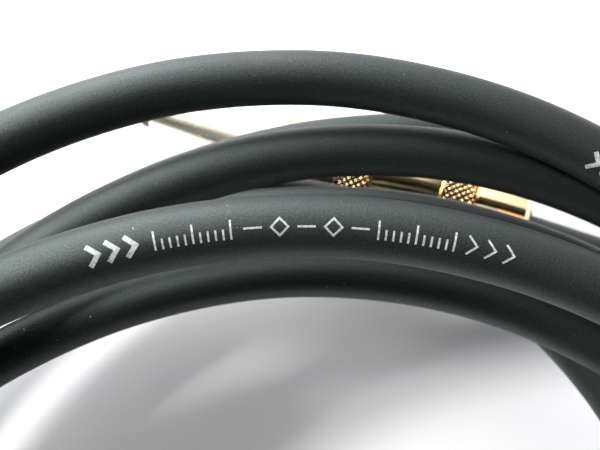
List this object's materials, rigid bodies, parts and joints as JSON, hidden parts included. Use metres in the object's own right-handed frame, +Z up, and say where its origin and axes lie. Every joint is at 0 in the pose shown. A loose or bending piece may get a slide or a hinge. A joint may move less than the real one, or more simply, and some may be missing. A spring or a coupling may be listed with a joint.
{
  "type": "instrument cable",
  "caption": "Coiled black instrument cable with a gold mono jack plug on each end; the knurled shells unscrew from the contacts.",
  "frame": {"origin": "middle of the coil's footprint, plugs included, on the surface that it rests on", "axes": "+Z up out of the coil; +Y from plug B's side to plug A's side, the longest way across; +X to the right with plug A at the far side"},
  "size_m": [0.1955, 0.23, 0.0504],
  "materials": {
    "jacket": "matte extruded rubber with fine grain across the cable",
    "copper": "bare copper strands",
    "screen": "conductive black plastic",
    "insulation": "natural polyethylene",
    "gold": "polished gold plating",
    "tip_ring": "black moulded plastic",
    "washer": "brown laminated board",
    "tinned_metal": "tin plate",
    "solder": "satin solder",
    "liner": "thin white tube",
    "grommet": "soft moulded rubber"
  },
  "bodies": {
    "coil": {"jacket_coil": "jacket", "shield_coil": "copper", "screen_coil": "screen", "insulation_coil": "insulation", "core_coil": "copper"},
    "plug_a": {"jacket_end_a": "jacket", "shield_end_a": "copper", "screen_end_a": "screen", "insulation_end_a": "insulation", "core_end_a": "copper", "sleeve_contact_a": "gold", "tip_contact_a": "gold", "tip_ring_a": "tip_ring", "rod_insulator_a": "insulation", "insulating_washer_a": "washer", "tip_lug_a": "tinned_metal", "ground_clamp_a": "tinned_metal", "tip_solder_a": "solder", "ground_solder_a": "solder"},
    "liner_a": {"liner_tube_a": "liner"},
    "shell_a": {"shell_a": "gold", "grommet_a": "grommet"},
    "plug_b": {"jacket_end_b": "jacket", "shield_end_b": "copper", "screen_end_b": "screen", "insulation_end_b": "insulation", "core_end_b": "copper", "sleeve_contact_b": "gold", "tip_contact_b": "gold", "tip_ring_b": "tip_ring", "rod_insulator_b": "insulation", "insulating_washer_b": "washer", "tip_lug_b": "tinned_metal", "ground_clamp_b": "tinned_metal", "tip_solder_b": "solder", "ground_solder_b": "solder"},
    "liner_b": {"liner_tube_b": "liner"},
    "shell_b": {"shell_b": "gold", "grommet_b": "grommet"}
  },
  "joints": [
    {"name": "bend_a", "type": "hinge", "parent": "coil", "child": "plug_a", "pos_m": [0.03678, 0.0833, 0.007], "axis": [0, 0, 1], "range_deg": [-45, 15]},
    {"name": "shell_back_a", "type": "slide", "parent": "plug_a", "child": "liner_a", "axis": [0.9397, -0.342, 0], "range_m": [0, 0.008]},
    {"name": "shell_turn_a", "type": "hinge", "parent": "liner_a", "child": "shell_a", "pos_m": [0.00671, 0.09424, 0.007], "axis": [0.9397, -0.342, 0], "range_deg": [0, 2880]},
    {"name": "bend_b", "type": "hinge", "parent": "coil", "child": "plug_b", "pos_m": [0.00849, -0.10842, 0.007], "axis": [0, 0, 1], "range_deg": [-8, 45]},
    {"name": "shell_back_b", "type": "slide", "parent": "plug_b", "child": "liner_b", "axis": [0.9994, -0.0349, 0], "range_m": [0, 0.008]},
    {"name": "shell_turn_b", "type": "hinge", "parent": "liner_b", "child": "shell_b", "pos_m": [-0.02349, -0.1073, 0.007], "axis": [0.9994, -0.0349, 0], "range_deg": [0, 2880]}
  ],
  "couplings": [
    {"joint": "shell_back_a", "follows": "shell_turn_a", "m_per_rad": 0.00015915},
    {"joint": "shell_back_b", "follows": "shell_turn_b", "m_per_rad": 0.00015915}
  ]
}
